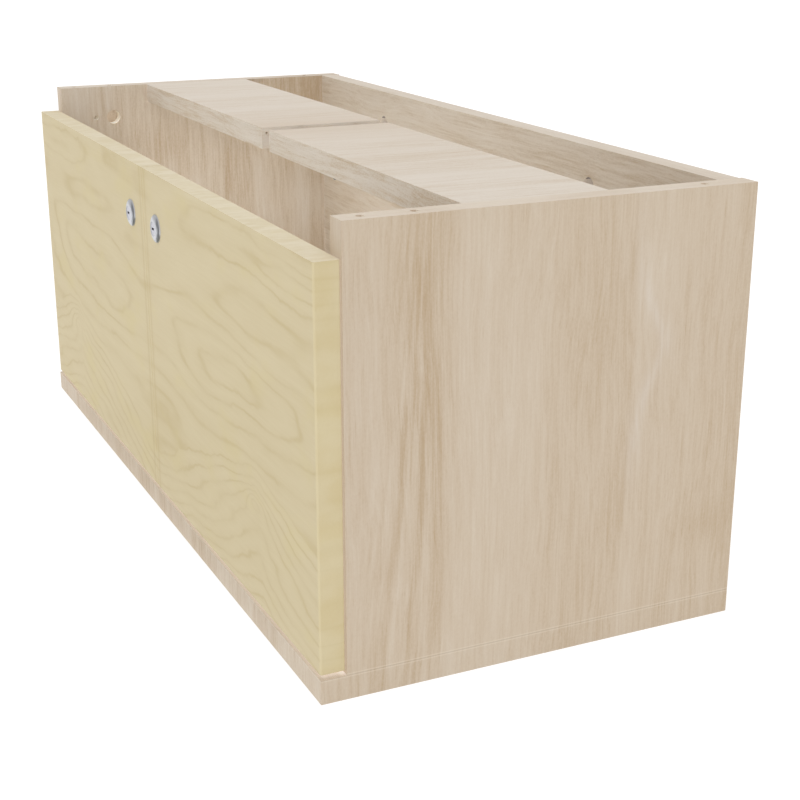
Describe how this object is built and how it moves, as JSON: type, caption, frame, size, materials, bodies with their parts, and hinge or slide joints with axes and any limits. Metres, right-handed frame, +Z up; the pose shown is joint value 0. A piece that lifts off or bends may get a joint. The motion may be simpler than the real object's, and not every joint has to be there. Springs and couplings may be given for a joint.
{
  "type": "two-door cabinet",
  "caption": "Low open-topped wooden cupboard with overlay slab doors on cup hinges, a key lock in each door, and flat top rails with an open slot between them.",
  "frame": {"origin": "floor point under the middle of the whole cupboard, lock rosettes included", "axes": "+X to the right as seen from the front, +Y to the rear, +Z up"},
  "size_m": [0.8, 0.3514, 0.3445],
  "materials": {
    "oak_sides": "matt pale oak decor, grain upright",
    "oak_bottom": "matt pale oak decor, grain along the width",
    "oak_back": "matt pale oak decor, grain along the width",
    "oak_stretchers": "matt pale oak decor, grain front to rear",
    "birch": "satin pale yellow birch veneer",
    "birch_lipping": "satin solid birch",
    "beech": "plain beech",
    "lock_chrome": "satin chrome",
    "plug_chrome": "satin nickel",
    "tongue_steel": "zinc-plated steel",
    "hinge_steel": "nickel-plated steel",
    "plate_steel": "zinc-plated",
    "cam_zinc": "die-cast zinc",
    "fastener_steel": "zinc-plated steel",
    "buffer": "clear soft plastic"
  },
  "bodies": {
    "carcass": {"bottom_panel": "oak_bottom", "side_left": "oak_sides", "side_right": "oak_sides", "back_panel": "oak_back", "stretcher_left": "oak_stretchers", "stretcher_right": "oak_stretchers", "connector_cams": "cam_zinc", "connector_bolts": "fastener_steel", "slot_bolts": "fastener_steel", "dowels": "beech", "door_buffers": "buffer", "hinge_plates_left": "plate_steel", "plate_screws_left": "fastener_steel", "hinge_arms_left": "hinge_steel", "arm_screws_left": "fastener_steel", "arm_pins_left": "fastener_steel", "hinge_plates_right": "plate_steel", "plate_screws_right": "fastener_steel", "hinge_arms_right": "hinge_steel", "arm_screws_right": "fastener_steel", "arm_pins_right": "fastener_steel"},
    "hinge_link_left": {"hinge_links_left": "hinge_steel"},
    "door_leaf_left": {"door_left": "birch", "door_lipping_left": "birch_lipping", "hinge_cups_left": "hinge_steel", "cup_screws_left": "fastener_steel", "cup_pins_left": "fastener_steel", "lock_housing_left": "lock_chrome", "lock_nut_left": "plate_steel"},
    "lock_left": {"lock_plug_left": "plug_chrome", "lock_tongue_left": "tongue_steel", "tongue_screw_left": "fastener_steel"},
    "hinge_link_right": {"hinge_links_right": "hinge_steel"},
    "door_leaf_right": {"door_right": "birch", "door_lipping_right": "birch_lipping", "hinge_cups_right": "hinge_steel", "cup_screws_right": "fastener_steel", "cup_pins_right": "fastener_steel", "lock_housing_right": "lock_chrome", "lock_nut_right": "plate_steel"},
    "lock_right": {"lock_plug_right": "plug_chrome", "lock_tongue_right": "tongue_steel", "tongue_screw_right": "fastener_steel"}
  },
  "joints": [
    {"name": "link_left_swing", "type": "hinge", "parent": "carcass", "child": "hinge_link_left", "pos_m": [-0.3669, -0.1596, 0.17075], "axis": [0, 0, 1], "range_deg": [0, 49.2]},
    {"name": "door_left_swing", "type": "hinge", "parent": "hinge_link_left", "child": "door_leaf_left", "pos_m": [-0.3864, -0.156, 0.17075], "axis": [0, 0, -1], "range_deg": [0, 149.2]},
    {"name": "lock_left_turn", "type": "hinge", "parent": "door_leaf_left", "child": "lock_left", "pos_m": [-0.039, -0.1725, 0.272], "axis": [0, -1, 0], "range_deg": [0, 90]},
    {"name": "link_right_swing", "type": "hinge", "parent": "carcass", "child": "hinge_link_right", "pos_m": [0.3669, -0.1596, 0.17075], "axis": [0, 0, -1], "range_deg": [0, 49.2]},
    {"name": "door_right_swing", "type": "hinge", "parent": "hinge_link_right", "child": "door_leaf_right", "pos_m": [0.3864, -0.156, 0.17075], "axis": [0, 0, 1], "range_deg": [0, 149.2]},
    {"name": "lock_right_turn", "type": "hinge", "parent": "door_leaf_right", "child": "lock_right", "pos_m": [0.039, -0.1725, 0.272], "axis": [0, 1, 0], "range_deg": [0, 90]}
  ],
  "couplings": [
    {"joint": "link_left_swing", "follows": "door_left_swing", "ratio": 0.32976},
    {"joint": "link_right_swing", "follows": "door_right_swing", "ratio": 0.32976}
  ]
}
